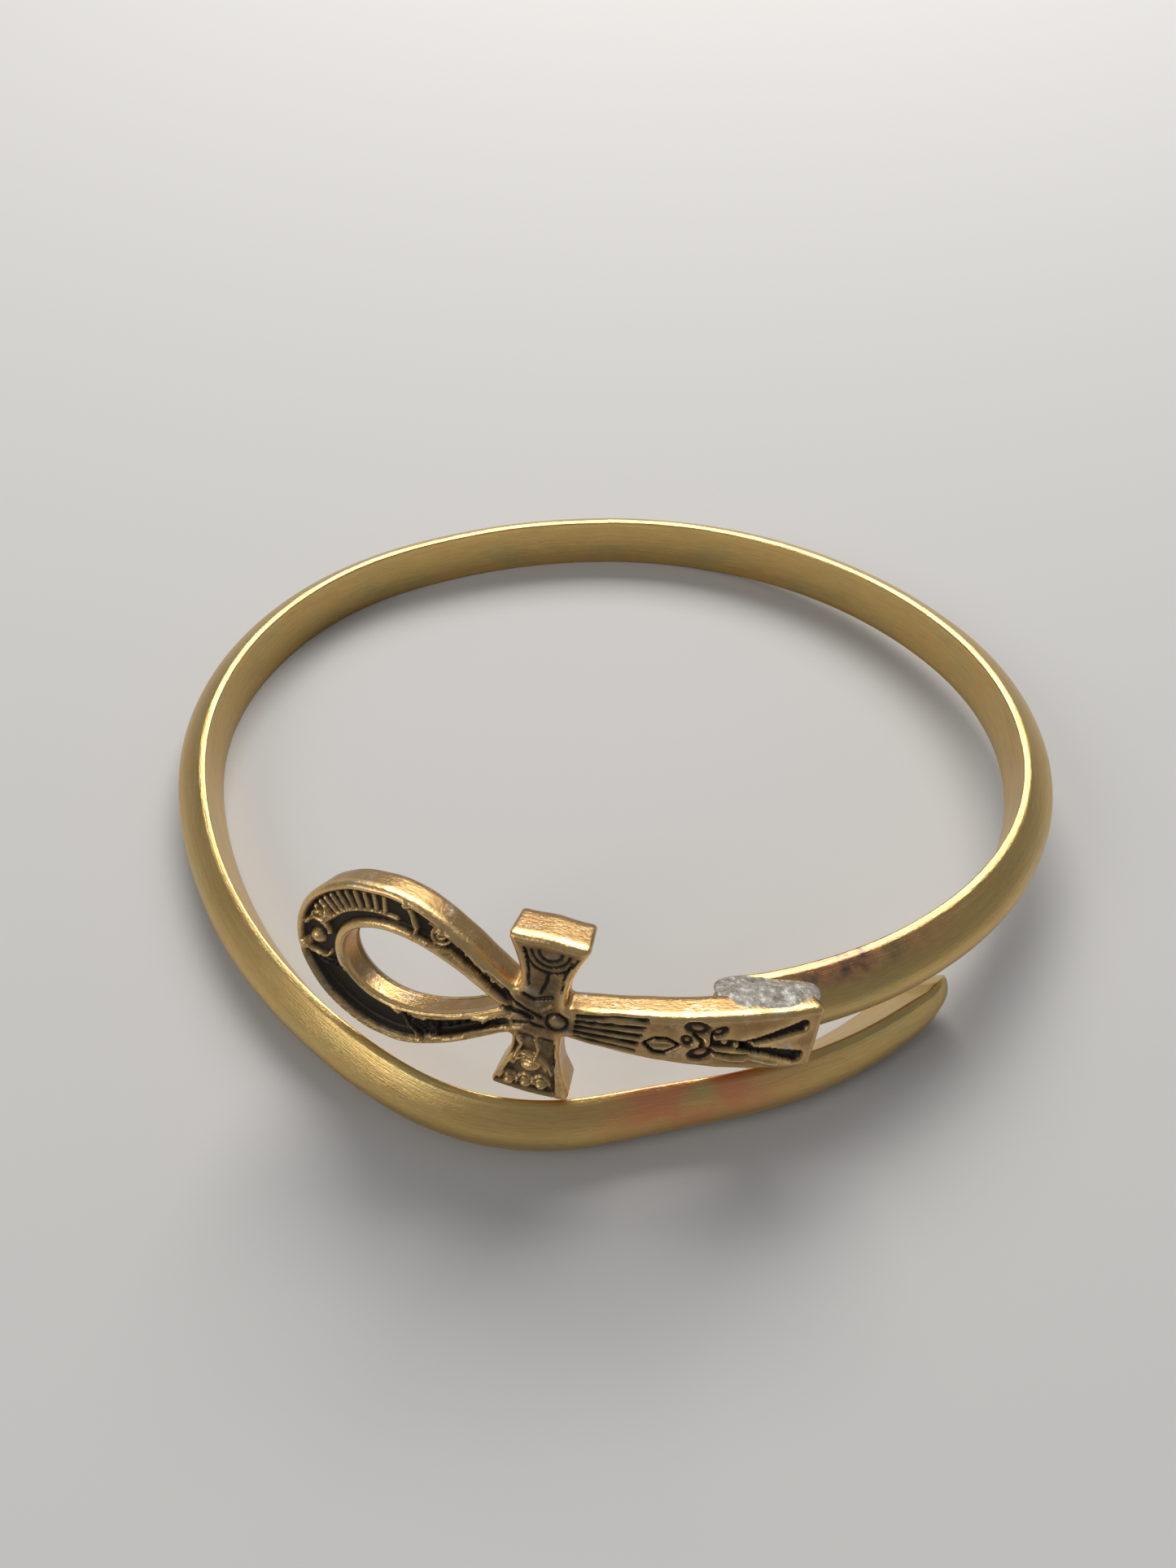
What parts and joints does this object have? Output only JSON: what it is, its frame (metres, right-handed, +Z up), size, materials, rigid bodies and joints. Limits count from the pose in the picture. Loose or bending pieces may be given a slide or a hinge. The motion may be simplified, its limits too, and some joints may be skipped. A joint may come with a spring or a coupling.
{
  "type": "bangle bracelet",
  "caption": "Open bypass bangle of half-round brass wire with a cast ankh soldered flat against the outside of one end; the other end passes under it at the front and springs open.",
  "frame": {"origin": "under the middle of the bangle's bounding box, on the plane it lies on", "axes": "+Z up, out of the plane the bangle lies on; -Y towards the front, where the ankh faces outward; +X towards the arm that carries the ankh"},
  "size_m": [0.067, 0.0632, 0.0162],
  "materials": {
    "brass_wire": "satin raw brass, fine hand-filed marks, light heat tint near the joint",
    "cast_brass": "cast antique brass: worn bright rims, blackened recesses",
    "soft_solder": "dull grey lumpy soft solder"
  },
  "bodies": {
    "ankh_arm": {"band_ankh_arm": "brass_wire", "ankh": "cast_brass", "solder_fillet": "soft_solder"},
    "free_arm": {"band_free_arm": "brass_wire"}
  },
  "joints": [
    {"name": "band_flex", "type": "hinge", "parent": "ankh_arm", "child": "free_arm", "pos_m": [0.00066, 0.0314, 0.00225], "axis": [0, 0, -1], "range_deg": [0, 12], "stiffness_Nm_per_rad": 3.8}
  ]
}
